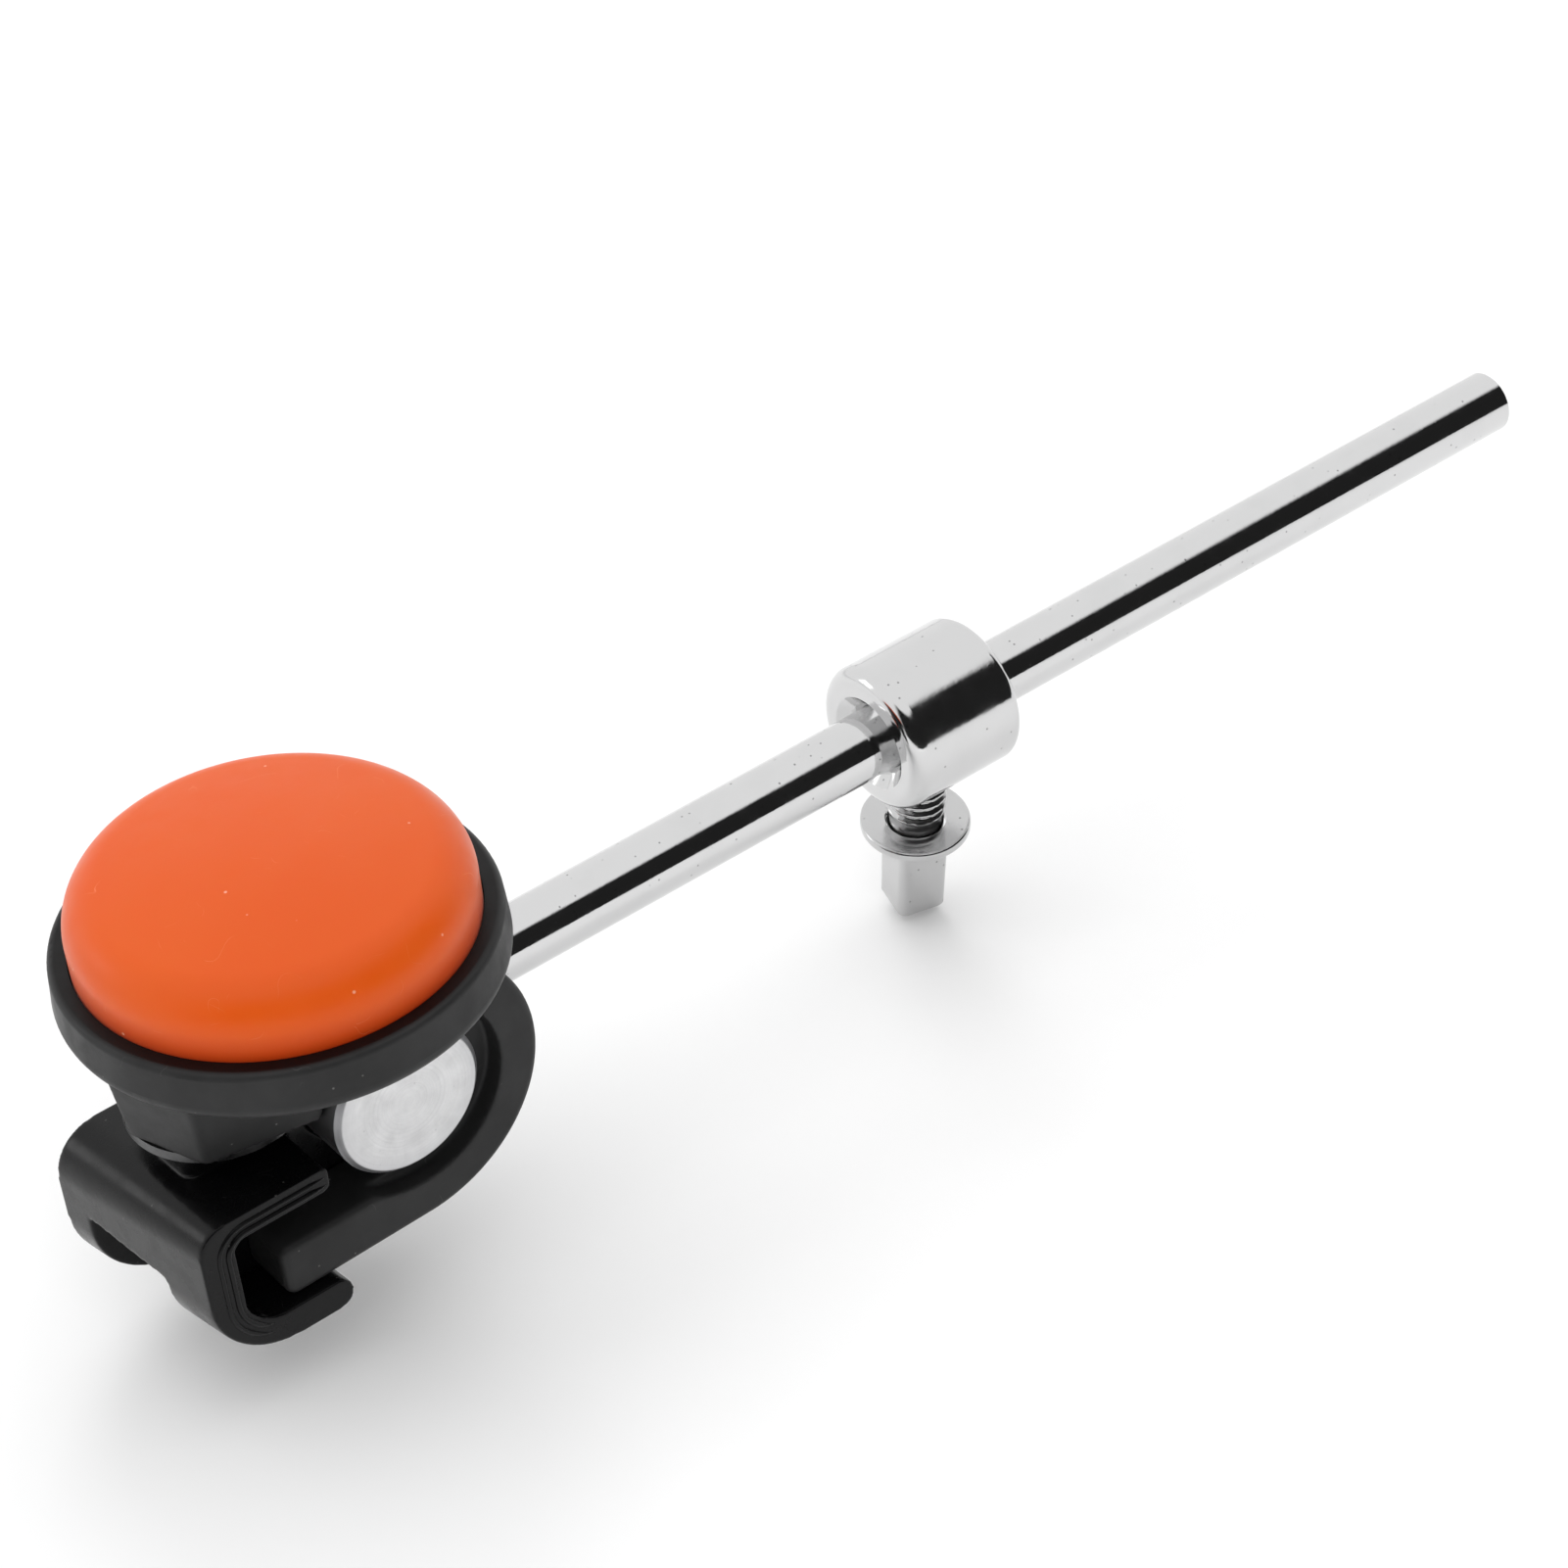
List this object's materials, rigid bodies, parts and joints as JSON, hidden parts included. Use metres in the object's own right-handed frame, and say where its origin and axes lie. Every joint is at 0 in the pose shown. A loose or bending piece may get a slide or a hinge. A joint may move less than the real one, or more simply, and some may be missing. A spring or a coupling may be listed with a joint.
{
  "type": "bass drum pedal beater",
  "caption": "Swivel-head bass drum pedal beater: silicone pad in a cup on a hooked cradle that pivots on a steel barrel across a chrome rod, with a sliding stop collar and key screw.",
  "frame": {"origin": "where the rod's axis crosses the head's axis, under the middle of the striking pad", "axes": "+X along the rod to its free end, +Z the way the striking pad faces, Y along the head's swivel axis"},
  "size_m": [0.209, 0.0488, 0.0594],
  "materials": {
    "chrome_rod": "polished",
    "machined_steel": "satin",
    "satin_black": "satin",
    "gloss_black": "gloss",
    "orange_silicone": "satin",
    "zinc_screws": "satin",
    "chrome_collar": "polished",
    "chrome_screw": "polished",
    "backing_board": "matte"
  },
  "bodies": {
    "rod": {"beater_rod": "chrome_rod", "weight_barrel": "machined_steel", "fork": "satin_black"},
    "head": {"cradle": "gloss_black", "spacer_plate": "zinc_screws", "boss": "satin_black", "cup": "satin_black", "head_screws": "zinc_screws", "backing_plate": "backing_board", "pad": "orange_silicone"},
    "collar": {"collar": "chrome_collar"},
    "screw_washer": {"key_washer": "chrome_screw"},
    "screw": {"key_screw": "chrome_screw"}
  },
  "joints": [
    {"name": "head_swivel", "type": "hinge", "parent": "rod", "child": "head", "pos_m": [0.0044, 0, 0], "axis": [0, 1, 0], "range_deg": [-10, 0]},
    {"name": "collar_slide", "type": "slide", "parent": "rod", "child": "collar", "axis": [1, 0, 0], "range_m": [-0.055, 0.085]},
    {"name": "screw_feed", "type": "slide", "parent": "collar", "child": "screw_washer", "axis": [0, -0.1305, 0.9914], "range_m": [-0.003, 0.0003]},
    {"name": "screw_turn", "type": "hinge", "parent": "screw_washer", "child": "screw", "pos_m": [0.087, 0, 0], "axis": [0, -0.1305, 0.9914], "range_deg": [-866, 88]}
  ],
  "couplings": [
    {"joint": "screw_turn", "follows": "screw_feed", "rad_per_m": 5026.6}
  ]
}
